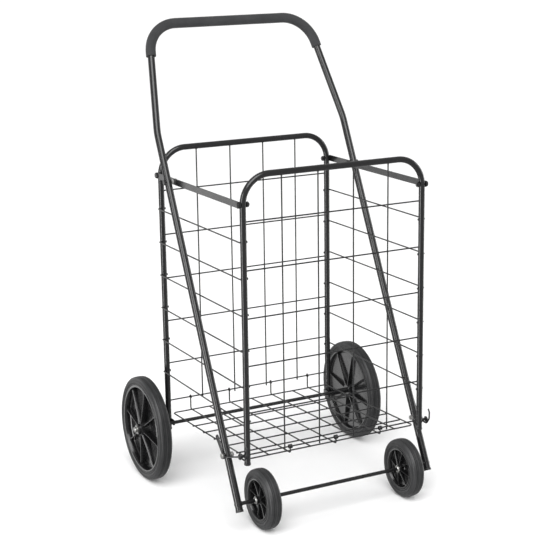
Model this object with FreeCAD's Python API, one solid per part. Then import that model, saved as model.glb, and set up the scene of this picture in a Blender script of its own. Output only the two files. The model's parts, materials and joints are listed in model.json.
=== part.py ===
import FreeCAD, Part
import os
from math import atan, copysign, cos, pi, radians, sin, sqrt, tan

# Folding shopping trolley, open and locked, in millimetres.
# Origin on the floor below the middle of the footprint; +X right, the front faces -Y, +Z up.
# The rear frame is upright and carries the large wheels; the front frame hangs from it on
# parallel links; the leaning handle frame is pinned to the top links and carries the small wheels.

V = FreeCAD.Vector
X_AXIS = V(1, 0, 0)
SIDES = {"left": -1, "right": 1}

# --- driving dimensions: basket frames ------------------------------------------------------
basket_depth = 391.0            # rear frame plane to front frame plane = length of every link
front_y = -219.0
rear_y = front_y + basket_depth
leg_x = 207.5                   # middle of the legs of both frames, from the centre plane
frame_tube_r = 6.35
frame_tube_wall = 1.2
frame_top_z = 738.0             # middle of both top bars
frame_corner_r = 58.0
rear_leg_end_z = 103.0
front_leg_end_z = 149.5
wire_r = 1.5

link_z = 681.4                  # pins of the flat top links
row_pitch = 74.0                # side wires below the top links
row_count = 6
grid_row_z = [647.0, 549.0, 451.0, 353.0, 255.0, 167.0]
grid_post_x = [-123.0, -41.0, 41.0, 123.0]
floor_pin_z = grid_row_z[-1]    # lowest row of both grids: the floor grid hangs from them

# --- driving dimensions: handle frame -------------------------------------------------------
handle_lean = radians(26.0)     # from upright, top towards the rear
handle_x = 228.8                # middle of the lower handle tubes
handle_tube_r = 7.5
handle_tube_wall = 1.2
handle_foot = 12.0              # tube beyond the front axle
handle_bend = 797.0             # front axle to the inward bend, along the tube
handle_length = 1040.9          # front axle to the middle of the push bar, along the tube
handle_top_x = 194.4            # sharp corner of the handle, before its radius
handle_bend_r = 140.0
handle_corner_r = 72.0
grip_r = 11.0
grip_tail = 10.0                # straight grip below each corner

# --- driving dimensions: wheels and axles ---------------------------------------------------
axle_r = 4.0
bore_gap = 0.08                 # running fit of a wheel or a link on its pin, radial
rear_wheel_r = 116.5
rear_wheel_x = (253.4, 281.4)   # inner and outer face of the tyre
front_wheel_r = 63.5
front_wheel_x = (157.3, 186.2)
front_axle_y = -215.0
front_axle_z = front_wheel_r
rear_axle_y = rear_y - frame_tube_r - axle_r - 0.15
rear_axle_z = rear_wheel_r
rear_hub_r = 15.0
front_hub_r = 10.5
rear_seat_r, front_seat_r = 98.0, 44.0                # where the tyres sit on the rims
rear_barrel, front_barrel = 6.0, 5.0                  # radial thickness of the rims
spoke_count = 8
spoke_turn = 11.0                                     # degrees from upright to the first rib
rear_hub_proud = 8.0            # hub end beyond the outer face of the tyre
front_hub_proud = 1.6
bracket_sheet = 1.6
bracket_half_height = 6.5

# --- driving dimensions: floor grid ---------------------------------------------------------
floor_edge_x = 198.8
floor_rear = (rear_y - 6.0, floor_pin_z - 29.0)       # (y, z) of the rear edge wire
floor_front = (front_y + 12.0, floor_pin_z - 14.0)
floor_hook_x = [-108.5, 0.0, 108.5]                   # coils round the front frame's lowest row
floor_eye_x = [-152.0, -54.0, 54.0, 152.0]            # eyes round the rear frame's lowest row
floor_cross_count = 7

# --- driving dimensions: lock hooks ---------------------------------------------------------
latch_pin_along = 101.8         # front axle to the hook's bolt, along the handle tube
latch_wire_r = 1.7
latch_coil_r = 1.85             # section of the hook's eye, a little over the wire that runs into it
stud_y, stud_z = front_y, 166.0
stud_neck_x = 224.0
hook_x = 219.4                  # middle of the cradle wire, from the centre plane
hook_gap = 0.35
hook_prong = [(-11.0, 0.0), (-20.5, 8.0), (-21.0, 22.0), (-16.5, 29.0)]    # (y, z) from the stud
tail_rise = radians(52)
tail_length = 45.0
tail_spread = radians(6)        # either side of the tail's middle line

# --- small hardware -------------------------------------------------------------------------
pin_r = 3.0
side_gap = 0.35                 # between faces that turn past each other
bar_height = 13.0
bar_thick = 3.0
head_r = 6.2
head_thick = 3.2
nut_across = 10.0
nut_thick = 4.8

# --- worked out from the above --------------------------------------------------------------
leg_outer_x = leg_x + frame_tube_r
leg_inner_x = leg_x - frame_tube_r
bar_inner_x = leg_outer_x + side_gap
bar_outer_x = bar_inner_x + bar_thick
row_z = [link_z - row_pitch * (i + 1) for i in range(row_count)]
floor_eye_r = 2 * wire_r + bore_gap
rear_hub_x = (rear_wheel_x[0] - 0.6, rear_wheel_x[1] + rear_hub_proud)
front_hub_x = (front_wheel_x[0] - 1.0, front_wheel_x[1] + front_hub_proud)
handle_outer_x = handle_x + handle_tube_r
handle_inner_x = handle_x - handle_tube_r
handle_pin_y = front_axle_y + (link_z - front_axle_z) * tan(handle_lean)
handle_taper = atan((handle_x - handle_top_x) / (handle_length - handle_bend))
grip_start = handle_length - handle_corner_r / tan(pi / 4 + handle_taper / 2) - grip_tail
latch_x = handle_outer_x + latch_wire_r + side_gap


def handle_point(side, along, half_width):
    """A point in the leaning plane of the handle frame."""
    return V(side * half_width,
             front_axle_y + along * sin(handle_lean),
             front_axle_z + along * cos(handle_lean))


latch_pin = handle_point(1, latch_pin_along, handle_x)


# --- shape helpers --------------------------------------------------------------------------
def bent_path(points, bend_r):
    """Straight runs through the points, joined by arcs; bend_r is one radius or one per bend."""
    bends = bend_r if isinstance(bend_r, (list, tuple)) else [bend_r] * (len(points) - 2)
    edges = []
    here = points[0]
    for before, corner, after, radius in zip(points, points[1:], points[2:], bends):
        back = (before - corner).normalize()
        ahead = (after - corner).normalize()
        half_angle = back.getAngle(ahead) / 2
        reach = radius / tan(half_angle)
        inward = (back + ahead).normalize()
        centre = corner + inward * (radius / sin(half_angle))
        arc_start = corner + back * reach
        arc_end = corner + ahead * reach
        if (arc_start - here).Length > 1e-6:
            edges.append(Part.makeLine(here, arc_start))
        edges.append(Part.Arc(arc_start, centre - inward * radius, arc_end).toShape())
        here = arc_end
    if (points[-1] - here).Length > 1e-6:
        edges.append(Part.makeLine(here, points[-1]))
    return Part.Wire(edges)


def swept(path, radius):
    """Round bar of the given radius along a path."""
    first = path.Edges[0]
    start = first.valueAt(first.FirstParameter)
    direction = first.tangentAt(first.FirstParameter)
    ring = Part.Wire([Part.Circle(start, direction, radius).toShape()])
    return path.makePipeShell([ring], True, False)


def tube(path, radius, wall):
    return swept(path, radius).cut(swept(path, radius - wall))


def rod(start, end, radius):
    return Part.makeCylinder(radius, (end - start).Length, start, end - start)


def cross_rod(x_from, x_to, y, z, radius):
    """Round bar along X."""
    return rod(V(x_from, y, z), V(x_to, y, z), radius)


def box(low, high):
    size = high - low
    return Part.makeBox(size.x, size.y, size.z, low)


def fused(shapes):
    return shapes[0].multiFuse(shapes[1:]).removeSplitter() if len(shapes) > 1 else shapes[0]


def turned(profile, side, x, y, z):
    """Solid of revolution about an X axis; profile is (distance outboard of x, radius)."""
    points = [V(x * side + side * out, y + radius, z) for out, radius in profile]
    face = Part.Face(Part.makePolygon(points + points[:1]))
    return face.revolve(V(0, y, z), X_AXIS, 360)


def ring_eye(x, y, z, ring_r):
    """One turn of wire around a cross wire."""
    return Part.makeTorus(ring_r, wire_r, V(x, y, z), X_AXIS)


def domed_head(side, x, y, z, radius=head_r, thick=head_thick):
    """Round bolt head whose flat face is at x and whose dome points outboard."""
    dome = [(0, 0), (0, radius), (thick * 0.45, radius), (thick * 0.75, radius * 0.86),
            (thick * 0.93, radius * 0.58), (thick, radius * 0.25), (thick, 0)]
    return turned(dome, side, x, y, z)


def hex_nut(side, x, y, z, bore_r=pin_r, thick=nut_thick):
    """Nut from x inboard, with both rims chamfered."""
    corner_r = nut_across / sqrt(3)
    corners = [V(0, corner_r * sin(radians(60 * i)), corner_r * cos(radians(60 * i)))
               for i in range(7)]
    prism = Part.Face(Part.makePolygon(corners)).extrude(V(-side * thick, 0, 0))
    prism.translate(V(side * x, y, z))
    chamfer = 0.7
    barrel = [(0, 0), (0, corner_r - chamfer), (-chamfer, corner_r),
              (chamfer - thick, corner_r), (-thick, corner_r - chamfer), (-thick, 0)]
    nut = prism.common(turned(barrel, side, x, y, z))
    return nut.cut(cross_rod(side * (x + 1), side * (x - thick - 1), y, z, bore_r))


def drilled(shape, places, radius, x_from, x_to):
    """Holes along X, on both sides of the centre plane, at each (y, z)."""
    holes = [cross_rod(side * x_from, side * x_to, y, z, radius)
             for y, z in places for side in SIDES.values()]
    return shape.cut(Part.makeCompound(holes))


# --- basket frames --------------------------------------------------------------------------
def frame_path(y, end_z):
    points = [V(-leg_x, y, end_z), V(-leg_x, y, frame_top_z),
              V(leg_x, y, frame_top_z), V(leg_x, y, end_z)]
    return bent_path(points, frame_corner_r)


def frame_tube(y, end_z):
    """Upside-down U tube with holes for the link pins and the ends of the side wires."""
    shape = tube(frame_path(y, end_z), frame_tube_r, frame_tube_wall)
    reach = (leg_inner_x - 5, leg_outer_x + 5)
    shape = drilled(shape, [(y, link_z)], pin_r, *reach)
    return drilled(shape, [(y, z) for z in row_z], wire_r + 0.1, *reach)


def frame_grid(y, end_z, post_offset):
    """Welded wire grid that fills a frame; the posts lie against one side of the rows."""
    post_y = y + post_offset * (2 * wire_r - 0.2)
    rows = [cross_rod(-leg_x, leg_x, y, z, wire_r) for z in grid_row_z]
    posts = [rod(V(x, post_y, floor_pin_z - 5), V(x, post_y, frame_top_z), wire_r)
             for x in grid_post_x]
    return fused(rows + posts).cut(swept(frame_path(y, end_z), frame_tube_r))


def foot_plugs(y, end_z):
    """Plastic plugs in the open lower ends of a frame."""
    plugs = []
    for side in SIDES.values():
        stem = rod(V(side * leg_x, y, end_z), V(side * leg_x, y, end_z + 12),
                   frame_tube_r - frame_tube_wall)
        cap = rod(V(side * leg_x, y, end_z - 4), V(side * leg_x, y, end_z), frame_tube_r + 0.5)
        cap = cap.makeFillet(1.2, [cap.Edges[i] for i in bottom_rims(cap)])
        plugs.append(stem.fuse(cap))
    return Part.makeCompound(plugs)


def bottom_rims(shape):
    """Indices of the circular edges at the lowest level of a shape."""
    low = shape.BoundBox.ZMin
    return [i for i, edge in enumerate(shape.Edges)
            if abs(edge.BoundBox.ZMin - low) < 1e-6 and edge.BoundBox.ZLength < 1e-6]


def side_wire(side, z):
    """Parallel wire link: both ends turn inboard through the legs and are peened over."""
    run_x = side * (bar_inner_x + wire_r + 0.1)
    tip_x = side * (leg_inner_x - 1.8)
    path = bent_path([V(tip_x, rear_y, z), V(run_x, rear_y, z),
                      V(run_x, front_y, z), V(tip_x, front_y, z)], 1.9)
    peened = [cross_rod(side * (leg_inner_x - 1.9), side * (leg_inner_x - 0.6), y, z, 2.4)
              for y in (rear_y, front_y)]
    return fused([swept(path, wire_r)] + peened)


def top_link(side):
    """Flat link bar, round at both ends, drilled for two frame pins and the handle pin."""
    half = bar_height / 2
    strip = box(V(bar_inner_x, front_y, link_z - half), V(bar_outer_x, rear_y, link_z + half))
    ends = [cross_rod(bar_inner_x, bar_outer_x, y, link_z, half) for y in (front_y, rear_y)]
    bar = fused([strip] + ends)
    for y in (front_y, handle_pin_y, rear_y):
        bar = bar.cut(cross_rod(bar_inner_x - 1, bar_outer_x + 1, y, link_z, pin_r + bore_gap))
    return bar if side > 0 else bar.mirror(V(0, 0, 0), X_AXIS)


def link_bolts(y):
    """Bolts from outboard through the link and the leg."""
    bolts = []
    for side in SIDES.values():
        shank = cross_rod(side * (leg_inner_x - nut_thick - 2.5), side * (bar_outer_x + side_gap),
                          y, link_z, pin_r)
        bolts.append(shank.fuse(domed_head(side, bar_outer_x + side_gap, y, link_z)))
    return Part.makeCompound(bolts)


def link_nuts(y):
    nuts = [hex_nut(side, leg_inner_x - 0.9, y, link_z) for side in SIDES.values()]
    return Part.makeCompound(nuts)


# --- floor grid -----------------------------------------------------------------------------
def floor_z(y):
    """Height of the floor wires, which fall gently to the rear."""
    share = (y - floor_front[0]) / (floor_rear[0] - floor_front[0])
    return floor_front[1] + share * (floor_rear[1] - floor_front[1])


def floor_wire(x, y_from, y_to):
    """Long wire of the floor, welded inside the edge loop and turned up to an eye at its far end."""
    start = y_from + copysign(0.6 * wire_r, y_to - y_from)
    turn = V(x, y_to, floor_z(y_to))
    up = V(x, y_to, floor_pin_z - floor_eye_r)
    return swept(bent_path([V(x, start, floor_z(start)), turn, up], 4.0), wire_r)


def floor_grid():
    """Welded floor: edge loop, long wires, cross wires, rear eyes and front coils."""
    front, rear = floor_front[0], floor_rear[0]
    corners = [V(0, front, floor_z(front)), V(-floor_edge_x, front, floor_z(front)),
               V(-floor_edge_x, rear, floor_z(rear)), V(0, rear, floor_z(rear))]
    half_edge = swept(bent_path(corners, 9.0), wire_r)
    parts = [half_edge, half_edge.mirror(V(0, 0, 0), X_AXIS)]
    for x in floor_eye_x:
        parts += [floor_wire(x, front, rear_y), ring_eye(x, rear_y, floor_pin_z, floor_eye_r)]
    for x in floor_hook_x:
        parts.append(floor_wire(x, rear, front_y))
        parts += [ring_eye(x + turn * 2.6, front_y, floor_pin_z, floor_eye_r)
                  for turn in (-1, 0, 1)]
    cross_drop = 2 * wire_r - 0.2
    for i in range(1, floor_cross_count):
        y = front + (rear - front) * i / floor_cross_count
        parts.append(cross_rod(-floor_edge_x - 1, floor_edge_x + 1, y, floor_z(y) - cross_drop,
                               wire_r))
    return fused(parts)


# --- rear axle and wheels -------------------------------------------------------------------
def axle_bracket(side):
    """Sheet clip round the leg from behind; its two cheeks hold the axle against the leg."""
    half = frame_tube_r + bracket_sheet
    low_z, high_z = rear_axle_z - bracket_half_height, rear_axle_z + bracket_half_height
    back = box(V(side * leg_x - half, rear_axle_y, low_z),
               V(side * leg_x + half, rear_y + half, high_z))
    rims = [i for i, edge in enumerate(back.Edges)
            if edge.BoundBox.ZLength > 1 and edge.BoundBox.YMin > rear_y]
    back = back.makeFillet(3.0, [back.Edges[i] for i in rims])
    nose = cross_rod(side * leg_x - half, side * leg_x + half, rear_axle_y, rear_axle_z,
                     bracket_half_height)
    inside = box(V(side * leg_x - frame_tube_r, rear_axle_y - 9, low_z - 1),
                 V(side * leg_x + frame_tube_r, rear_y + frame_tube_r, high_z + 1))
    return fused([back, nose]).cut(inside).cut(
        cross_rod(side * (leg_x - 20), side * (leg_x + 20), rear_axle_y, rear_axle_z, axle_r))


def rear_axle():
    end = rear_hub_x[1] + 4.5
    return cross_rod(-end, end, rear_axle_y, rear_axle_z, axle_r)


def rear_axle_spacers():
    """Sleeves that hold the large wheels away from the brackets."""
    inner = leg_x + frame_tube_r + bracket_sheet
    sleeve = [(0, axle_r), (0, 6.5), (rear_hub_x[0] - side_gap - inner, 6.5),
              (rear_hub_x[0] - side_gap - inner, axle_r)]
    return Part.makeCompound([turned(sleeve, side, inner, rear_axle_y, rear_axle_z)
                              for side in SIDES.values()])


def rear_axle_washers():
    washer = [(0, axle_r), (0, 9.0), (1.2, 9.0), (1.2, axle_r)]
    return Part.makeCompound([turned(washer, side, rear_hub_x[1] + side_gap,
                                     rear_axle_y, rear_axle_z) for side in SIDES.values()])


def rear_axle_caps():
    """Domed push-on caps over the axle ends."""
    skirt, depth = 6.4, 6.6
    cap = [(0, axle_r), (0, skirt), (0.6 * depth, skirt), (0.85 * depth, 0.8 * skirt),
           (0.97 * depth, 0.45 * skirt), (depth, 0), (depth - 3.5, 0), (depth - 3.5, axle_r)]
    start = rear_hub_x[1] + side_gap + 1.2
    return Part.makeCompound([turned(cap, side, start, rear_axle_y, rear_axle_z)
                              for side in SIDES.values()])


def tyre(side, faces, radius, seat_r, y, z):
    """Solid tyre: crowned tread, rounded shoulders, a moulded line on each side wall."""
    width = faces[1] - faces[0]
    wall = radius - seat_r
    half = [(0.10, 0), (0.05, 0.10), (0.02, 0.30), (0.055, 0.36), (0.055, 0.42), (0.0, 0.50),
            (0.03, 0.72), (0.13, 0.90), (0.27, 0.975), (0.5, 1.0)]
    inner_side = [(width * out, seat_r + wall * up) for out, up in half]
    outer_side = [(width - out, up) for out, up in reversed(inner_side[:-1])]
    return turned(inner_side + outer_side, side, faces[0], y, z)


def rim(side, faces, hub_faces, seat_r, barrel, hub_r, y, z):
    """Moulded wheel centre: lipped barrel, thin web near its middle, hub and radial ribs."""
    width = faces[1] - faces[0]
    lip, inset = 2.6, 0.10 * width
    inner_r = seat_r - barrel
    outline = [(inset - 0.3, inner_r), (inset - 1.6, inner_r + 1.5),
               (inset - 1.6, seat_r + 0.2 * lip), (inset, seat_r), (width - inset, seat_r),
               (width - inset + 1.6, seat_r + 0.2 * lip),
               (width - inset + 1.6, inner_r + 1.5), (width - inset + 0.3, inner_r)]
    ring = turned(outline, side, faces[0], y, z)
    web_out = 0.36 * width
    web = turned([(web_out, 0), (web_out, seat_r - barrel / 2), (web_out + 2.4, seat_r - barrel / 2),
                  (web_out + 2.4, 0)], side, faces[0], y, z)
    hub_start = hub_faces[0] - faces[0]
    hub_end = hub_faces[1] - faces[0]
    hub = turned([(hub_start, 0), (hub_start, hub_r - 2), (web_out, hub_r),
                  (hub_end - 1.2, hub_r - 3), (hub_end, hub_r - 4.2), (hub_end, 0)],
                 side, faces[0], y, z)
    ribs = []
    for i in range(spoke_count):
        plate = Part.Face(Part.makePolygon([
            V(inset + 1, 0, 0), V(inset + 1, 0, seat_r - barrel / 2),
            V(width - inset - 1, 0, seat_r - barrel / 2),
            V(hub_end - 2.5, 0, hub_r - 5), V(hub_end - 2.5, 0, 0), V(inset + 1, 0, 0)]))
        rib = plate.extrude(V(0, 2.2, 0))
        rib.translate(V(faces[0], -1.1, 0))
        rib.rotate(V(0, 0, 0), X_AXIS, 360.0 * i / spoke_count + spoke_turn)
        if side < 0:
            rib = rib.mirror(V(0, 0, 0), X_AXIS)
        rib.translate(V(0, y, z))
        ribs.append(rib)
    whole = fused([ring, web, hub] + ribs)
    bore = cross_rod(side * (hub_faces[0] - 2), side * (hub_faces[1] + 2), y, z, axle_r + bore_gap)
    return whole.cut(bore)


# --- handle frame ---------------------------------------------------------------------------
def handle_path(along_from):
    """The whole handle line, or only its upper part from a distance along the tube."""
    rising = [handle_point(-1, along_from, width_at(along_from))]
    if along_from < handle_bend:
        rising.append(handle_point(-1, handle_bend, handle_x))
    rising.append(handle_point(-1, handle_length, handle_top_x))
    mirrored = [V(-p.x, p.y, p.z) for p in reversed(rising)]
    corners = [handle_bend_r, handle_corner_r] if along_from < handle_bend else [handle_corner_r]
    return bent_path(rising + mirrored, corners + corners[::-1])


def width_at(along):
    """Half width of the handle frame at a distance along its tube."""
    if along <= handle_bend:
        return handle_x
    share = (along - handle_bend) / (handle_length - handle_bend)
    return handle_x + share * (handle_top_x - handle_x)


def handle_tube():
    shape = tube(handle_path(-handle_foot), handle_tube_r, handle_tube_wall)
    reach = (handle_inner_x - 5, handle_outer_x + 5)
    shape = drilled(shape, [(handle_pin_y, link_z), (latch_pin.y, latch_pin.z)], pin_r, *reach)
    return drilled(shape, [(front_axle_y, front_axle_z)], axle_r, *reach)


def handle_grip():
    """Foam sleeve over the push bar and both corners."""
    path = handle_path(grip_start)
    return tube(path, grip_r, grip_r - handle_tube_r)


def handle_end_caps():
    """Plastic caps that close the lower ends of the handle tubes."""
    caps = []
    for side in SIDES.values():
        end = handle_point(side, -handle_foot, handle_x)
        up = (handle_point(side, 0, handle_x) - end).normalize()
        stem = rod(end, end + up * 6, handle_tube_r - handle_tube_wall)
        caps.append(stem.fuse(rod(end - up * 5, end, handle_tube_r + 0.6)))
    return Part.makeCompound(caps)


def handle_bar(side):
    """The lower handle tube of one side as a plain bar, for fitting parts against it."""
    return rod(handle_point(side, 0, handle_x), handle_point(side, handle_bend, handle_x),
               handle_tube_r)


def link_pin_spacers():
    """Nylon spacers between each top link and the handle tube."""
    inner = bar_outer_x + side_gap
    spacer = [(0, pin_r), (0, 5.6), (handle_inner_x - inner, 5.6), (handle_inner_x - inner, pin_r)]
    shapes = []
    for side in SIDES.values():
        ring = turned(spacer, side, inner, handle_pin_y, link_z)
        shapes.append(ring.cut(handle_bar(side)))
    return Part.makeCompound(shapes)


def handle_bolts(y, z, inner_x, outer_x):
    """Bolts through the handle tube, heads outboard."""
    bolts = []
    for side in SIDES.values():
        shank = cross_rod(side * inner_x, side * outer_x, y, z, pin_r)
        bolts.append(shank.fuse(domed_head(side, outer_x, y, z)))
    return Part.makeCompound(bolts)


def link_pin_bolts():
    return handle_bolts(handle_pin_y, link_z, bar_inner_x - nut_thick - 1.5, handle_outer_x)


def link_pin_nuts():
    return Part.makeCompound([hex_nut(side, bar_inner_x - side_gap, handle_pin_y, link_z)
                              for side in SIDES.values()])


def latch_bolts():
    return handle_bolts(latch_pin.y, latch_pin.z, handle_inner_x - nut_thick - 1.5,
                        latch_x + latch_wire_r + side_gap)


def latch_nuts():
    nuts = [hex_nut(side, handle_inner_x, latch_pin.y, latch_pin.z) for side in SIDES.values()]
    return Part.makeCompound(nuts)


# --- front axle and wheels ------------------------------------------------------------------
def front_axle():
    """Welded flush into both handle tubes."""
    end = handle_outer_x - 0.3
    return cross_rod(-end, end, front_axle_y, front_axle_z, axle_r)


def front_wheel_nuts():
    """Zinc push nuts that hold each small wheel from both sides."""
    collar = [(0, axle_r), (0, 7.6), (0.9, 7.6), (1.7, 6.2), (3.2, 5.6), (3.2, axle_r)]
    inward = [(-out, radius) for out, radius in collar]
    nuts = []
    for side in SIDES.values():
        nuts.append(turned(collar, side, front_hub_x[1] + side_gap, front_axle_y, front_axle_z))
        nuts.append(turned(inward, side, front_hub_x[0] - side_gap, front_axle_y, front_axle_z))
    return Part.makeCompound(nuts)


# --- lock hooks -----------------------------------------------------------------------------
def lock_studs():
    """Headed studs welded to the front legs; the hooks take the weight of the basket on them."""
    studs = []
    for side in SIDES.values():
        leg = rod(V(side * leg_x, front_y, stud_z - 15), V(side * leg_x, front_y, stud_z + 15),
                  frame_tube_r)
        neck = cross_rod(side * leg_x, side * stud_neck_x, stud_y, stud_z, pin_r)
        head = domed_head(side, stud_neck_x, stud_y, stud_z)
        studs.append(neck.fuse(head).cut(leg))
    return Part.makeCompound(studs)


def lock_hook(side):
    """Sprung wire hook: a cradle below the stud, an eye on the handle bolt, a hairpin thumb tail."""
    eye_r = pin_r + latch_coil_r + bore_gap
    cradle_r = pin_r + latch_wire_r + hook_gap
    eye = V(side * latch_x, latch_pin.y, latch_pin.z)
    cradle = V(side * hook_x, stud_y, stud_z - cradle_r)
    prong = [V(cradle.x, stud_y + dy, cradle.z if dz == 0 else stud_z + dz)
             for dy, dz in hook_prong]
    arm = [eye + V(0, -eye_r, 0), eye + V(0, -14, 1.5), V(cradle.x, stud_y + 13, cradle.z)] + prong
    parts = [Part.makeTorus(eye_r, latch_coil_r, eye, X_AXIS),
             swept(bent_path(arm, [6.0, 6.0, 7.0, 6.0, 4.0]), latch_wire_r)]
    tail = []
    for angle, ends in ((tail_rise - tail_spread, (eye_r, tail_length)),
                        (tail_rise + tail_spread, (tail_length, eye_r))):
        tail += [eye + V(0, cos(angle), sin(angle)) * end for end in ends]
    parts.append(swept(bent_path(tail, 4.0), latch_wire_r))
    return fused(parts)


# --- export ---------------------------------------------------------------------------------
def rear_wheel(side):
    place = (rear_axle_y, rear_axle_z)
    return {
        "tyre": tyre(side, rear_wheel_x, rear_wheel_r, rear_seat_r, *place),
        "rim": rim(side, rear_wheel_x, rear_hub_x, rear_seat_r, rear_barrel, rear_hub_r, *place)}


def front_wheel(side):
    place = (front_axle_y, front_axle_z)
    return {
        "tyre": tyre(side, front_wheel_x, front_wheel_r, front_seat_r, *place),
        "rim": rim(side, front_wheel_x, front_hub_x, front_seat_r, front_barrel, front_hub_r,
                   *place)}


def all_nodes():
    nodes = {
        "rear_frame_tube": frame_tube(rear_y, rear_leg_end_z),
        "rear_grid": frame_grid(rear_y, rear_leg_end_z, -1),
        "rear_foot_plugs": foot_plugs(rear_y, rear_leg_end_z),
        "rear_link_bolts": link_bolts(rear_y),
        "rear_link_nuts": link_nuts(rear_y),
        "rear_axle": rear_axle(),
        "rear_axle_spacers": rear_axle_spacers(),
        "rear_axle_washers": rear_axle_washers(),
        "rear_axle_caps": rear_axle_caps(),
        "front_frame_tube": frame_tube(front_y, front_leg_end_z),
        "front_grid": frame_grid(front_y, front_leg_end_z, -1),
        "front_foot_plugs": foot_plugs(front_y, front_leg_end_z),
        "front_link_bolts": link_bolts(front_y),
        "front_link_nuts": link_nuts(front_y),
        "lock_studs": lock_studs(),
        "floor_grid": floor_grid(),
        "handle_tube": handle_tube(),
        "handle_grip": handle_grip(),
        "handle_end_caps": handle_end_caps(),
        "link_pin_bolts": link_pin_bolts(),
        "link_pin_nuts": link_pin_nuts(),
        "link_pin_spacers": link_pin_spacers(),
        "latch_bolts": latch_bolts(),
        "latch_nuts": latch_nuts(),
        "front_axle": front_axle(),
        "front_wheel_nuts": front_wheel_nuts()}
    for name, side in SIDES.items():
        nodes["axle_bracket_" + name] = axle_bracket(side)
        nodes["top_link_" + name] = top_link(side)
        nodes["lock_hook_" + name] = lock_hook(side)
        for i, z in enumerate(row_z):
            nodes["side_wire_%s_%d" % (name, i + 1)] = side_wire(side, z)
        for piece, shape in rear_wheel(side).items():
            nodes["rear_%s_%s" % (piece, name)] = shape
        for piece, shape in front_wheel(side).items():
            nodes["front_%s_%s" % (piece, name)] = shape
    return nodes


os.makedirs("parts", exist_ok=True)
for node, shape in all_nodes().items():
    shape.exportStep("parts/%s.step" % node)
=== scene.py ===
import bpy
import bmesh
import json
from math import atan, cos, pi, radians, sin, tan
from mathutils import Matrix, Vector, noise


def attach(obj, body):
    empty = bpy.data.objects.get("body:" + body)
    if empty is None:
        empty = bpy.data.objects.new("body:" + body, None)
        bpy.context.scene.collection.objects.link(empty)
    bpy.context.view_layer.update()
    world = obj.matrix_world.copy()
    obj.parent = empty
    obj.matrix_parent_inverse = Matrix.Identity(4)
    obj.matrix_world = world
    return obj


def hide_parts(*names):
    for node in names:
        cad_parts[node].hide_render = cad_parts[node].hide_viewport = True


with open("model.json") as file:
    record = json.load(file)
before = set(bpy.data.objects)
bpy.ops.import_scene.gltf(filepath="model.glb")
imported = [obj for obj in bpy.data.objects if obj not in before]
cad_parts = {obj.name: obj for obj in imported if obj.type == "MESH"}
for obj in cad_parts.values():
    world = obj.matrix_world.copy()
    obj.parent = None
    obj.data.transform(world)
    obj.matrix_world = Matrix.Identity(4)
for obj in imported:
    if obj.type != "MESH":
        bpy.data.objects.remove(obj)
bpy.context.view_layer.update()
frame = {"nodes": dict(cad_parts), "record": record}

nodes = frame["nodes"]
SIDES = {"left": -1, "right": 1}

# --- dimensions of the part, in metres --------------------------------------------------------
LEAN = radians(26.0)                 # handle frame from upright
AXLE_Y, AXLE_Z = -0.215, 0.0635      # front axle, where the handle's length is measured from
HANDLE_X, HANDLE_TOP_X = 0.2288, 0.1944
HANDLE_BEND, HANDLE_LENGTH = 0.797, 1.0409
HANDLE_TUBE_R, GRIP_R = 0.0075, 0.0110
CORNER_R, GRIP_TAIL = 0.072, 0.010
REAR_Y, FRONT_Y = 0.172, -0.219
LEG_X, LEG_R, WIRE_R = 0.2075, 0.00635, 0.0015
ROWS = (0.647, 0.549, 0.451, 0.353, 0.255, 0.167)
POSTS = (-0.123, -0.041, 0.041, 0.123)
TOP_Z = 0.738
FLOOR_FRONT, FLOOR_REAR = (-0.207, 0.153), (0.166, 0.138)      # (y, z) of the floor's edge wires
FLOOR_WIRES = (-0.152, -0.1085, -0.054, 0.0, 0.054, 0.1085, 0.152)
FLOOR_EDGE, FLOOR_CROSS = 0.1988, 7
STUD_Z = 0.166
REAR_WHEEL = {"y": 0.1615, "z": 0.1165, "r": 0.1165, "x": (0.2534, 0.2814), "seat": 0.098,
              "barrel": 0.006, "hub": 0.015, "hub_ends": (-0.0006, 0.0360)}
FRONT_WHEEL = {"y": -0.215, "z": 0.0635, "r": 0.0635, "x": (0.1573, 0.1862), "seat": 0.044,
               "barrel": 0.005, "hub": 0.0105, "hub_ends": (-0.0010, 0.0305)}
RIB_TURN = 11.0                      # degrees from upright to the first rib


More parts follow.
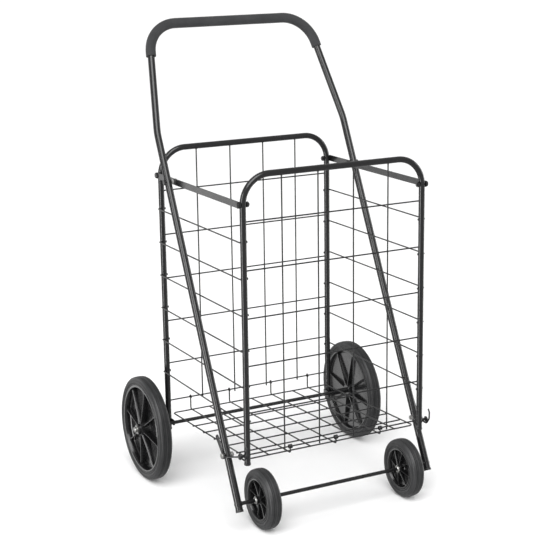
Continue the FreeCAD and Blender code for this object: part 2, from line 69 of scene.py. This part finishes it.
# --- materials --------------------------------------------------------------------------------
class Shader:
    """A Principled material built up from object-space procedural textures."""

    def __init__(self, name, color, rough, metallic=0.0, specular=0.5, coat=0.0, coat_rough=0.1,
                 sheen=0.0):
        self.mat = bpy.data.materials.new(name)
        self.mat.use_nodes = True
        self.tree = self.mat.node_tree
        self.links = self.tree.links
        self.bsdf = self.tree.nodes["Principled BSDF"]
        self.coords = self.tree.nodes.new("ShaderNodeTexCoord").outputs["Object"]
        self.set("Base Color", (*color, 1.0))
        self.set("Roughness", rough)
        self.set("Metallic", metallic)
        self.set("Specular IOR Level", specular)
        self.set("Coat Weight", coat)
        self.set("Coat Roughness", coat_rough)
        self.set("Sheen Weight", sheen)
        self.height = None

    def set(self, socket, value):
        self.bsdf.inputs[socket].default_value = value

    def noise(self, scale, detail=4.0, rough=0.55, stretch=None, distortion=0.0):
        node = self.tree.nodes.new("ShaderNodeTexNoise")
        node.inputs["Scale"].default_value = scale
        node.inputs["Detail"].default_value = detail
        node.inputs["Roughness"].default_value = rough
        node.inputs["Distortion"].default_value = distortion
        source = self.coords
        if stretch:
            mapping = self.tree.nodes.new("ShaderNodeMapping")
            mapping.inputs["Scale"].default_value = stretch
            self.links.new(source, mapping.inputs["Vector"])
            source = mapping.outputs["Vector"]
        self.links.new(source, node.inputs["Vector"])
        return node.outputs["Fac"]

    def voronoi(self, scale, feature="F1"):
        node = self.tree.nodes.new("ShaderNodeTexVoronoi")
        node.feature = feature
        node.inputs["Scale"].default_value = scale
        self.links.new(self.coords, node.inputs["Vector"])
        return node.outputs["Distance"]

    def ramp(self, fac, stops):
        """Maps fac through (position, value or colour) stops."""
        node = self.tree.nodes.new("ShaderNodeValToRGB")
        ramp = node.color_ramp
        while len(ramp.elements) < len(stops):
            ramp.elements.new(0.5)
        for element, (position, value) in zip(ramp.elements, stops):
            element.position = position
            color = value if isinstance(value, tuple) else (value, value, value)
            element.color = (*color, 1.0)
        self.links.new(fac, node.inputs["Fac"])
        return node.outputs["Color"]

    def blend(self, fac, low, high):
        """Colour mixed from low to high by fac; each is a colour tuple or a socket."""
        node = self.tree.nodes.new("ShaderNodeMix")
        node.data_type = "RGBA"
        self.links.new(fac, node.inputs[0])
        for index, value in ((6, low), (7, high)):
            if isinstance(value, tuple):
                node.inputs[index].default_value = (*value, 1.0)
            else:
                self.links.new(value, node.inputs[index])
        return node.outputs[2]

    def math(self, operation, a, b):
        node = self.tree.nodes.new("ShaderNodeMath")
        node.operation = operation
        for socket, value in zip(node.inputs, (a, b)):
            if isinstance(value, (int, float)):
                socket.default_value = value
            else:
                self.links.new(value, socket)
        return node.outputs["Value"]

    def facing_up(self):
        """0 on sides and undersides, rising to 1 on faces that look straight up."""
        geometry = self.tree.nodes.new("ShaderNodeNewGeometry")
        split = self.tree.nodes.new("ShaderNodeSeparateXYZ")
        self.links.new(geometry.outputs["Normal"], split.inputs["Vector"])
        return split.outputs["Z"]

    def color(self, socket):
        self.links.new(socket, self.bsdf.inputs["Base Color"])
        return self

    def rough(self, socket):
        self.links.new(socket, self.bsdf.inputs["Roughness"])
        return self

    def metal(self, socket):
        self.links.new(socket, self.bsdf.inputs["Metallic"])
        return self

    def bump(self, height, distance, strength=1.0):
        node = self.tree.nodes.new("ShaderNodeBump")
        node.inputs["Strength"].default_value = strength
        node.inputs["Distance"].default_value = distance
        self.links.new(height, node.inputs["Height"])
        if self.height:
            self.links.new(self.height, node.inputs["Normal"])
        self.height = node.outputs["Normal"]
        self.links.new(self.height, self.bsdf.inputs["Normal"])
        return self


def powder_coat(name, base, rough_low, rough_high, coat, chips):
    """Black powder coat: orange-peel skin, uneven gloss, a breath of dust on top, tiny chips."""
    s = Shader(name, base, rough_low, specular=0.45, coat=coat, coat_rough=0.09)
    patchy = s.noise(38.0, 5.0, 0.6)
    dust = s.math("MULTIPLY", s.ramp(s.facing_up(), [(0.55, 0.0), (1.0, 1.0)]),
                  s.ramp(s.noise(170.0, 6.0, 0.7), [(0.42, 0.0), (0.80, 0.30)]))
    tint = s.blend(patchy, base, tuple(1.6 * c + 0.002 for c in base))
    dusty = s.blend(dust, tint, (0.075, 0.072, 0.068))
    chipped = s.math("MULTIPLY", s.ramp(s.noise(330.0, 3.0, 0.6), [(0.735, 0.0), (0.75, chips)]),
                     s.ramp(s.noise(11.0, 2.0), [(0.50, 0.0), (0.62, 1.0)]))
    s.color(s.blend(chipped, dusty, (0.30, 0.29, 0.28)))
    s.metal(chipped)
    s.rough(s.math("ADD", s.ramp(patchy, [(0.3, rough_low), (0.7, rough_high)]),
                   s.math("MULTIPLY", dust, 0.3)))
    s.bump(s.noise(420.0, 2.0, 0.4), 0.00006, 0.5)
    return s.bump(s.noise(1300.0, 2.0, 0.5), 0.00002, 0.3).mat


def zinc(name):
    """Bright zinc plate with a faint spangle, drawn lines and dulled patches."""
    s = Shader(name, (0.62, 0.62, 0.60), 0.3, metallic=1.0)
    spangle = s.voronoi(900.0)
    dull = s.noise(260.0, 6.0, 0.65)
    s.color(s.blend(s.ramp(dull, [(0.42, 0.0), (0.7, 1.0)]), (0.50, 0.50, 0.49), (0.30, 0.295, 0.28)))
    s.rough(s.math("ADD", s.ramp(dull, [(0.35, 0.20), (0.7, 0.42)]), s.math("MULTIPLY", spangle, 0.10)))
    s.bump(s.noise(1400.0, 3.0, 0.6, stretch=(0.08, 1.0, 1.0)), 0.00004, 0.5)
    return s.bump(spangle, 0.00003, 0.3).mat


def rubber(name, dark, light, scuff):
    """Moulded rubber: cloudy bloom, fine pores, grey scuffing and floor dust on the tread."""
    s = Shader(name, dark, 0.5, specular=0.45, sheen=0.03)
    cloud = s.noise(45.0, 6.0, 0.6)
    body = s.blend(s.ramp(cloud, [(0.32, 0.0), (0.72, 1.0)]), dark, light)
    speck = s.ramp(s.noise(650.0, 3.0, 0.7), [(0.60, 0.0), (0.72, 0.35)])
    s.color(s.blend(speck, body, scuff))
    s.rough(s.ramp(cloud, [(0.3, 0.36), (0.7, 0.50)]))
    s.bump(s.noise(1100.0, 4.0, 0.6), 0.00010, 0.45)
    return s.bump(s.noise(130.0, 3.0), 0.0002, 0.35).mat


def moulded(name, base, light, rough_low, rough_high, coat=0.0):
    """Injection-moulded plastic: flow clouds, a fine mould grain and hairline scratches."""
    s = Shader(name, base, rough_low, specular=0.5, coat=coat, coat_rough=0.15)
    flow = s.noise(60.0, 4.0, 0.55, distortion=0.8)
    hair = s.ramp(s.noise(700.0, 2.0, 0.5, stretch=(1.0, 0.06, 1.0)), [(0.64, 0.0), (0.72, 0.5)])
    s.color(s.blend(hair, s.blend(flow, base, light), tuple(2.2 * c + 0.01 for c in light)))
    s.rough(s.math("ADD", s.ramp(flow, [(0.3, rough_low), (0.7, rough_high)]),
                   s.math("MULTIPLY", hair, 0.2)))
    return s.bump(s.noise(1500.0, 3.0, 0.6), 0.00006, 0.45).mat


def foam(name):
    """Closed-cell foam: open pore pits in a leathery skin, with painted shade in the pits, and paler
    rubbed patches.
    """
    s = Shader(name, (0.03, 0.03, 0.032), 0.8, specular=0.25, sheen=0.08)
    cloud = s.noise(28.0, 5.0, 0.6)
    pore_pits_and_shade = s.voronoi(1500.0)
    body = s.blend(s.ramp(cloud, [(0.3, 0.0), (0.75, 1.0)]), (0.026, 0.0265, 0.028),
                   (0.045, 0.046, 0.048))
    # near-black colour at the pore pits: painted shade in the pits, which the bump below also dents
    s.color(s.blend(s.ramp(pore_pits_and_shade, [(0.0, 1.0), (0.35, 0.0)]), body, (0.013, 0.013, 0.014)))
    s.rough(s.ramp(cloud, [(0.3, 0.72), (0.7, 0.86)]))
    s.bump(s.ramp(pore_pits_and_shade, [(0.0, 0.0), (0.5, 1.0)]), 0.00018, 0.7)
    return s.bump(s.noise(240.0, 4.0, 0.6), 0.0003, 0.4).mat


MATERIALS = {
    "black_tube": powder_coat("black_tube", (0.005, 0.005, 0.0054), 0.15, 0.25, 0.25, 0.5),
    "black_wire": powder_coat("black_wire", (0.006, 0.006, 0.0064), 0.24, 0.36, 0.1, 0.7),
    "black_steel": powder_coat("black_steel", (0.006, 0.006, 0.0064), 0.20, 0.32, 0.15, 0.8),
    "zinc_steel": zinc("zinc_steel"),
    "wheel_plastic": moulded("wheel_plastic", (0.004, 0.004, 0.0044), (0.008, 0.008, 0.0084),
                             0.16, 0.28, 0.2),
    "grey_plastic": moulded("grey_plastic", (0.24, 0.24, 0.235), (0.34, 0.34, 0.33), 0.38, 0.52),
    "black_plastic": moulded("black_plastic", (0.010, 0.010, 0.010), (0.02, 0.02, 0.02), 0.34, 0.48),
    "rear_rubber": rubber("rear_rubber", (0.013, 0.0132, 0.0138), (0.021, 0.0214, 0.0224),
                          (0.07, 0.069, 0.067)),
    "front_rubber": rubber("front_rubber", (0.020, 0.0204, 0.0212), (0.031, 0.0315, 0.0325),
                           (0.09, 0.089, 0.087)),
    "grip_foam": foam("grip_foam"),
}
slot_of = {entry["node"]: entry["material_slot"] for entry in frame["record"]["subparts"]}
for name, obj in nodes.items():
    obj.data.materials.clear()
    obj.data.materials.append(MATERIALS[slot_of[name]])


# --- mesh helpers -----------------------------------------------------------------------------
def piece(name, bm, slot, body, stands_for=(), smooth_angle=32.0):
    """A finished mesh object that rides on a body and may replace CAD nodes."""
    bmesh.ops.recalc_face_normals(bm, faces=bm.faces)
    mesh = bpy.data.meshes.new(name)
    bm.to_mesh(mesh)
    bm.free()
    mesh.shade_smooth()
    mesh.set_sharp_from_angle(angle=radians(smooth_angle))
    obj = bpy.data.objects.new(name, mesh)
    bpy.context.scene.collection.objects.link(obj)
    mesh.materials.append(MATERIALS[slot])
    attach(obj, body)
    if stands_for:
        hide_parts(*stands_for)
    return obj


def lathe(bm, profile, side, wheel, segments=160, closed=True, wobble=None):
    """Turns (x outboard of the inner face, radius) points about the wheel's axle."""
    rings = []
    for k in range(segments):
        angle = 2 * pi * k / segments
        ring = []
        for index, (out, radius) in enumerate(profile):
            extra = wobble(index, angle) if wobble else 0.0
            ring.append(bm.verts.new((side * (wheel["x"][0] + out),
                                      wheel["y"] + (radius + extra) * cos(angle),
                                      wheel["z"] + (radius + extra) * sin(angle))))
        rings.append(ring)
    count = len(profile)
    for a, b in zip(rings, rings[1:] + rings[:1]):
        for j in range(count if closed else count - 1):
            n = (j + 1) % count
            bm.faces.new((a[j], a[n], b[n], b[j]))


def tube_along(bm, points, radii, segments=32, capped=False):
    """Skin of rings along points; radii is one radius or one per point."""
    rings = []
    for i, point in enumerate(points):
        ahead = points[min(i + 1, len(points) - 1)] - points[max(i - 1, 0)]
        ahead.normalize()
        if i == 0:
            across = ahead.orthogonal().normalized()
        else:
            across = (across - ahead * across.dot(ahead)).normalized()
        third = ahead.cross(across)
        radius = radii[i] if isinstance(radii, (list, tuple)) else radii
        rings.append([bm.verts.new(point + (across * cos(2 * pi * k / segments)
                                            + third * sin(2 * pi * k / segments)) * radius)
                      for k in range(segments)])
    for a, b in zip(rings, rings[1:]):
        for k in range(segments):
            n = (k + 1) % segments
            bm.faces.new((a[k], a[n], b[n], b[k]))
    if capped:
        bm.faces.new(rings[0])
        bm.faces.new(rings[-1])
    return rings


# --- camera, light and floor ------------------------------------------------------------------
def aim_camera():
    """The photograph's viewpoint: a long lens, left of the front, a little above."""
    azimuth, elevation, roll = radians(-28.0), radians(14.0), radians(-0.79)
    back = Vector((sin(azimuth) * cos(elevation), -cos(azimuth) * cos(elevation), sin(elevation)))
    right = (-back).cross(Vector((0, 0, 1))).normalized()
    up = right.cross(-back)
    x_axis = right * cos(roll) + up * sin(roll)
    y_axis = up * cos(roll) - right * sin(roll)
    data = bpy.data.cameras.new("camera")
    data.lens, data.sensor_width = 94.2, 36.0
    data.clip_end = 50.0
    camera = bpy.data.objects.new("camera", data)
    axes = Matrix((x_axis, y_axis, back)).transposed().to_4x4()
    camera.matrix_world = Matrix.Translation((-1.4365, -2.6599, 1.2221)) @ axes
    bpy.context.scene.collection.objects.link(camera)
    bpy.context.scene.camera = camera


def area_light(name, place, target, size, power, tint=(1.0, 1.0, 1.0)):
    data = bpy.data.lights.new(name, "AREA")
    data.shape = "RECTANGLE"
    data.size, data.size_y = size
    data.energy = power
    data.color = tint
    light = bpy.data.objects.new(name, data)
    light.location = place
    light.rotation_euler = (Vector(target) - Vector(place)).to_track_quat("-Z", "Y").to_euler()
    bpy.context.scene.collection.objects.link(light)


def studio():
    scene = bpy.context.scene
    world = bpy.data.worlds.new("studio")
    world.use_nodes = True
    background = world.node_tree.nodes["Background"]
    background.inputs["Color"].default_value = (1.0, 1.0, 1.0, 1.0)
    background.inputs["Strength"].default_value = 0.50
    scene.world = world
    scene.view_settings.view_transform = "Standard"
    sun = bpy.data.lights.new("key", "SUN")
    sun.energy, sun.angle = 2.65, radians(50)
    key = bpy.data.objects.new("key", sun)
    key.rotation_euler = (radians(38), 0, radians(-28))
    scene.collection.objects.link(key)
    area_light("strip_left", (-2.43, -0.60, 0.2), (0, 0, 0.4), (0.65, 3.0), 52.0)
    area_light("strip_right", (2.48, -0.35, 0.2), (0, 0, 0.4), (0.6, 3.0), 24.0)
    area_light("strip_back", (-1.3, 2.4, 0.3), (0, 0, 0.3), (1.0, 2.8), 9.0)

    bm = bmesh.new()
    bmesh.ops.create_grid(bm, x_segments=48, y_segments=48, size=45.0)
    for vert in bm.verts:
        vert.co.z = 0.012 * max(0.0, Vector(vert.co).length - 18.0) ** 2
    mesh = bpy.data.meshes.new("floor")
    bm.to_mesh(mesh)
    bm.free()
    floor = bpy.data.objects.new("floor", mesh)
    scene.collection.objects.link(floor)
    s = Shader("floor", (0.93, 0.93, 0.93), 0.6, specular=0.2)
    s.color(s.blend(s.noise(3.0, 3.0), (0.925, 0.925, 0.925), (0.95, 0.95, 0.95)))
    mesh.materials.append(s.mat)
    mesh.shade_smooth()
    floor.visible_glossy = False


aim_camera()
studio()


# --- foam grip --------------------------------------------------------------------------------
def handle_point(side, along, half_width):
    return Vector((side * half_width, AXLE_Y + along * sin(LEAN), AXLE_Z + along * cos(LEAN)))


def grip_line(steps_corner=30, steps_top=46, steps_tail=6):
    """Points along the middle of the push bar, from one sleeve end to the other."""
    taper = atan((HANDLE_X - HANDLE_TOP_X) / (HANDLE_LENGTH - HANDLE_BEND))
    corner = handle_point(-1, HANDLE_LENGTH, HANDLE_TOP_X)
    down = (handle_point(-1, HANDLE_BEND, HANDLE_X) - corner).normalized()
    inward = Vector((1, 0, 0))
    half = pi / 4 + taper / 2
    reach = CORNER_R / tan(half)
    centre = corner + (down + inward).normalized() * (CORNER_R / sin(half))
    tail_start = corner + down * (reach + GRIP_TAIL)
    arc_start, arc_end = corner + down * reach, corner + inward * reach
    first, last = arc_start - centre, arc_end - centre
    swing = first.angle(last)
    axis = first.cross(last).normalized()
    points = [tail_start.lerp(arc_start, i / steps_tail) for i in range(steps_tail)]
    points += [centre + Matrix.Rotation(swing * i / steps_corner, 3, axis) @ first
               for i in range(steps_corner)]
    points += [arc_end.lerp(Vector((0, arc_end.y, arc_end.z)), i / steps_top)
               for i in range(steps_top)]
    mirrored = [Vector((-p.x, p.y, p.z)) for p in reversed(points)]
    return points + [Vector((0, arc_end.y, arc_end.z))] + mirrored, centre


def foam_grip():
    line, bend_centre = grip_line()
    segments = 72
    bm = bmesh.new()
    start = (line[0] - line[1]).normalized()
    end = (line[-1] - line[-2]).normalized()
    lip = [(0.0000, 0.0079), (0.0, 0.0091), (0.0004, 0.0100), (0.0012, 0.0107)]
    points = [line[0] - start * out for out, _ in lip]
    radii = [radius for _, radius in lip]
    inner = [(line[0] - start * 0.006, 0.0077)]
    body = line[2:-2]
    points = [p for p, _ in inner] + points + body
    radii = [r for _, r in inner] + radii + [GRIP_R] * len(body)
    points += [line[-1] - end * out for out, _ in reversed(lip)] + [line[-1] - end * 0.006]
    radii += [radius for _, radius in reversed(lip)] + [0.0077]
    rings = tube_along(bm, points, radii, segments)
    for ring, middle, radius in zip(rings, points, radii):
        if radius < GRIP_R - 1e-6:
            continue
        for vert in ring:
            outward = (vert.co - middle).normalized()
            skin = noise.noise(vert.co * 260.0) * 0.00012 + noise.noise(vert.co * 60.0) * 0.00018
            centre = Vector((bend_centre.x * (-1 if middle.x > 0 else 1), bend_centre.y, bend_centre.z))
            if abs(middle.x) > abs(bend_centre.x):
                inner_side = max(0.0, outward.dot((centre - middle).normalized()))
                angle = atan((middle.z - centre.z) / max(1e-4, abs(middle.x) - abs(centre.x)) * 1.0)
                crease = (0.5 + 0.5 * cos(angle * 26.0)) ** 6
                skin -= 0.00045 * crease * inner_side ** 2
            vert.co += outward * (skin - 0.0002)
    bmesh.ops.remove_doubles(bm, verts=bm.verts, dist=1e-6)
    grip = piece("foam_grip", bm, "grip_foam", "handle", ["handle_grip"], 60.0)


# --- wheels -----------------------------------------------------------------------------------
TYRE_HALF = (       # share of the width from one face, share of the height from seat to tread
    (0.100, -0.02), (0.060, 0.02), (0.034, 0.06), (0.028, 0.13), (0.048, 0.175), (0.078, 0.19),
    (0.080, 0.240), (0.042, 0.26), (0.014, 0.31), (0.004, 0.40), (0.012, 0.44), (-0.014, 0.465),
    (-0.014, 0.510), (0.018, 0.530), (0.022, 0.580), (-0.001, 0.600), (-0.001, 0.635), (0.030, 0.655),
    (0.038, 0.72), (0.058, 0.80), (0.100, 0.880), (0.165, 0.940), (0.245, 0.970), (0.256, 0.905),
    (0.288, 0.905), (0.300, 0.978), (0.375, 0.985), (0.384, 0.930), (0.406, 0.930), (0.415, 0.988),
    (0.484, 0.988), (0.490, 1.000), (0.500, 1.000))


def detailed_tyre(kind, name, side, wheel):
    width = wheel["x"][1] - wheel["x"][0]
    wall = wheel["r"] - wheel["seat"]
    half = [(out * width, wheel["seat"] + up * wall) for out, up in TYRE_HALF]
    profile = half + [(width - out, radius) for out, radius in reversed(half[:-1])]
    bm = bmesh.new()
    lathe(bm, profile, side, wheel, 176)
    node = "%s_tyre_%s" % (kind, name)
    piece("detailed_" + node, bm, kind + "_rubber", "%s_wheel_%s" % (kind, name), [node], 24.0)


def rim_profile(wheel):
    """Section of the moulded centre: filleted hub, thin web with a raised ring, lipped barrel."""
    width, seat, inner = wheel["x"][1] - wheel["x"][0], wheel["seat"], wheel["seat"] - wheel["barrel"]
    hub, bore, inset = wheel["hub"], 0.00408, 0.1 * width
    web_in, web_out = 0.36 * width, 0.36 * width + 0.0024
    hub_in, hub_out = wheel["hub_ends"]
    ring = 0.5 * (hub + inner)
    outboard = [
        (hub_out, bore), (hub_out, hub - 0.0044), (hub_out - 0.0005, hub - 0.0036),
        (hub_out - 0.0060, hub - 0.0028), (hub_out - 0.0066, hub - 0.0014),
        (web_out + 0.0030, hub - 0.0002), (web_out + 0.0011, hub + 0.0007),
        (web_out + 0.0002, hub + 0.0024), (web_out, ring - 0.0026), (web_out + 0.0007, ring - 0.0018),
        (web_out + 0.0007, ring + 0.0018), (web_out, ring + 0.0026), (web_out, inner - 0.0045),
        (web_out + 0.0006, inner - 0.0022), (web_out + 0.0022, inner - 0.0007),
        (width - inset - 0.0030, inner), (width - inset - 0.0006, inner + 0.0009),
        (width - inset + 0.0014, inner + 0.0012), (width - inset + 0.0022, inner + 0.0018),
        (width - inset + 0.0024, seat - 0.0016), (width - inset + 0.0018, seat + 0.0002),
        (width - inset + 0.0006, seat + 0.0006), (width - inset - 0.0010, seat)]
    inboard = [
        (hub_in, bore), (hub_in, hub - 0.0030), (hub_in + 0.0006, hub - 0.0024),
        (web_in - 0.0014, hub - 0.0002), (web_in - 0.0003, hub + 0.0012), (web_in, hub + 0.0030),
        (web_in, inner - 0.0040), (web_in - 0.0005, inner - 0.0018), (web_in - 0.0018, inner - 0.0006),
        (inset + 0.0020, inner), (inset + 0.0004, inner + 0.0009), (inset - 0.0014, inner + 0.0012),
        (inset - 0.0022, inner + 0.0018), (inset - 0.0024, seat - 0.0016),
        (inset - 0.0018, seat + 0.0002), (inset - 0.0006, seat + 0.0006), (inset + 0.0010, seat)]
    return outboard + inboard[::-1]


def rib(bm, side, wheel, angle):
    """One drafted rib across the web, thicker where it runs into the hub and the barrel."""
    width, inner = wheel["x"][1] - wheel["x"][0], wheel["seat"] - wheel["barrel"]
    start, stop = wheel["hub"] - 0.0035, inner + 0.0008
    steps, rings = 18, []
    for k in range(steps + 1):
        share = k / steps
        radius = start + (stop - start) * share
        flare = 1.0 + 0.5 * max(0.0, 1 - (radius - start) / 0.006) ** 2
        flare += 1.1 * max(0.0, 1 - (stop - radius) / 0.005) ** 2
        low = wheel["hub_ends"][0] + 0.0012 + (0.1 * width + 0.0006 - wheel["hub_ends"][0]) * share
        high = (wheel["hub_ends"][1] - 0.0068) * (1 - share) + (0.9 * width - 0.0014) * share
        high -= 0.0008 * sin(pi * share)
        middle = 0.4 * width
        outline = [(high, 0.00055), (high - 0.0005, 0.00080), (middle, 0.00120),
                   (low + 0.0005, 0.00080), (low, 0.00055), (low, -0.00055),
                   (low + 0.0005, -0.00080), (middle, -0.00120), (high - 0.0005, -0.00080),
                   (high, -0.00055)]
        ring = []
        for out, across in outline:
            across *= flare
            ring.append(bm.verts.new((
                side * (wheel["x"][0] + out),
                wheel["y"] - radius * sin(angle) + across * cos(angle),
                wheel["z"] + radius * cos(angle) + across * sin(angle))))
        rings.append(ring)
    for a, b in zip(rings, rings[1:]):
        for j in range(len(a)):
            n = (j + 1) % len(a)
            bm.faces.new((a[j], a[n], b[n], b[j]))
    bm.faces.new(rings[0])
    bm.faces.new(rings[-1])


def detailed_rim(kind, name, side, wheel):
    bm = bmesh.new()
    lathe(bm, rim_profile(wheel), side, wheel, 144)
    for k in range(8):
        rib(bm, side, wheel, radians(45.0 * k + RIB_TURN))
    node = "%s_rim_%s" % (kind, name)
    piece("detailed_" + node, bm, "wheel_plastic", "%s_wheel_%s" % (kind, name), [node], 30.0)


for name, side in SIDES.items():
    for kind, wheel in (("rear", REAR_WHEEL), ("front", FRONT_WHEEL)):
        detailed_tyre(kind, name, side, wheel)
        detailed_rim(kind, name, side, wheel)


# --- welds ------------------------------------------------------------------------------------
def bead(bm, place, size):
    """A small uneven lump of weld under the coating."""
    made = bmesh.ops.create_icosphere(bm, subdivisions=2, radius=1.0)["verts"]
    for vert in made:
        swell = 1.0 + 0.22 * noise.noise(vert.co * 1.7 + Vector(place) * 900.0)
        vert.co = Vector(place) + Vector([c * s * swell for c, s in zip(vert.co, size)])


def weld_ring(bm, place, radius, thick):
    """A fillet of weld round a bar that runs along X."""
    count, around = 28, 8
    rings = []
    for k in range(count):
        angle = 2 * pi * k / count
        uneven = thick * (1.0 + 0.18 * sin(5 * angle) + 0.12 * sin(9 * angle + 1.0))
        ring = []
        for j in range(around):
            turn = 2 * pi * j / around
            out = radius + uneven * cos(turn)
            ring.append(bm.verts.new((place[0] + uneven * sin(turn),
                                      place[1] + out * cos(angle), place[2] + out * sin(angle))))
        rings.append(ring)
    for a, b in zip(rings, rings[1:] + rings[:1]):
        for j in range(around):
            n = (j + 1) % around
            bm.faces.new((a[j], a[n], b[n], b[j]))


def grid_welds(name, y, body):
    bm = bmesh.new()
    post_y = y - 0.0028
    for x in POSTS:
        bead(bm, (x, post_y, TOP_Z - 0.0058), (0.0023, 0.0021, 0.0014))
        for z in ROWS:
            bead(bm, (x, y - 0.0014, z), (0.0018, 0.0017, 0.0018))
    for side in SIDES.values():
        for z in ROWS:
            bead(bm, (side * (LEG_X - LEG_R + 0.0002), y, z), (0.0012, 0.0024, 0.0025))
    piece(name, bm, "black_wire", body, (), 60.0)


def floor_welds():
    bm = bmesh.new()
    front, rear = FLOOR_FRONT, FLOOR_REAR
    for k in range(FLOOR_CROSS + 1):
        share = k / FLOOR_CROSS
        y = front[0] + (rear[0] - front[0]) * share
        z = front[1] + (rear[1] - front[1]) * share
        edge = k in (0, FLOOR_CROSS)
        for x in FLOOR_WIRES:
            bead(bm, (x, y, z if edge else z - 0.0014), (0.0018, 0.0018, 0.0018))
        if not edge:
            for side in SIDES.values():
                bead(bm, (side * FLOOR_EDGE, y, z - 0.0014), (0.0019, 0.0018, 0.0018))
    piece("floor_welds", bm, "black_wire", "floor_grid", (), 60.0)


def bar_welds():
    studs, axle = bmesh.new(), bmesh.new()
    for side in SIDES.values():
        weld_ring(studs, (side * (LEG_X + LEG_R), FRONT_Y, STUD_Z), 0.0036, 0.0008)
        weld_ring(axle, (side * (HANDLE_X - HANDLE_TUBE_R), AXLE_Y, AXLE_Z), 0.0046, 0.0010)
    piece("stud_welds", studs, "black_tube", "front_frame", (), 60.0)
    piece("axle_welds", axle, "black_tube", "handle", (), 60.0)


grid_welds("rear_grid_welds", REAR_Y, "rear_frame")
grid_welds("front_grid_welds", FRONT_Y, "front_frame")
floor_welds()
bar_welds()
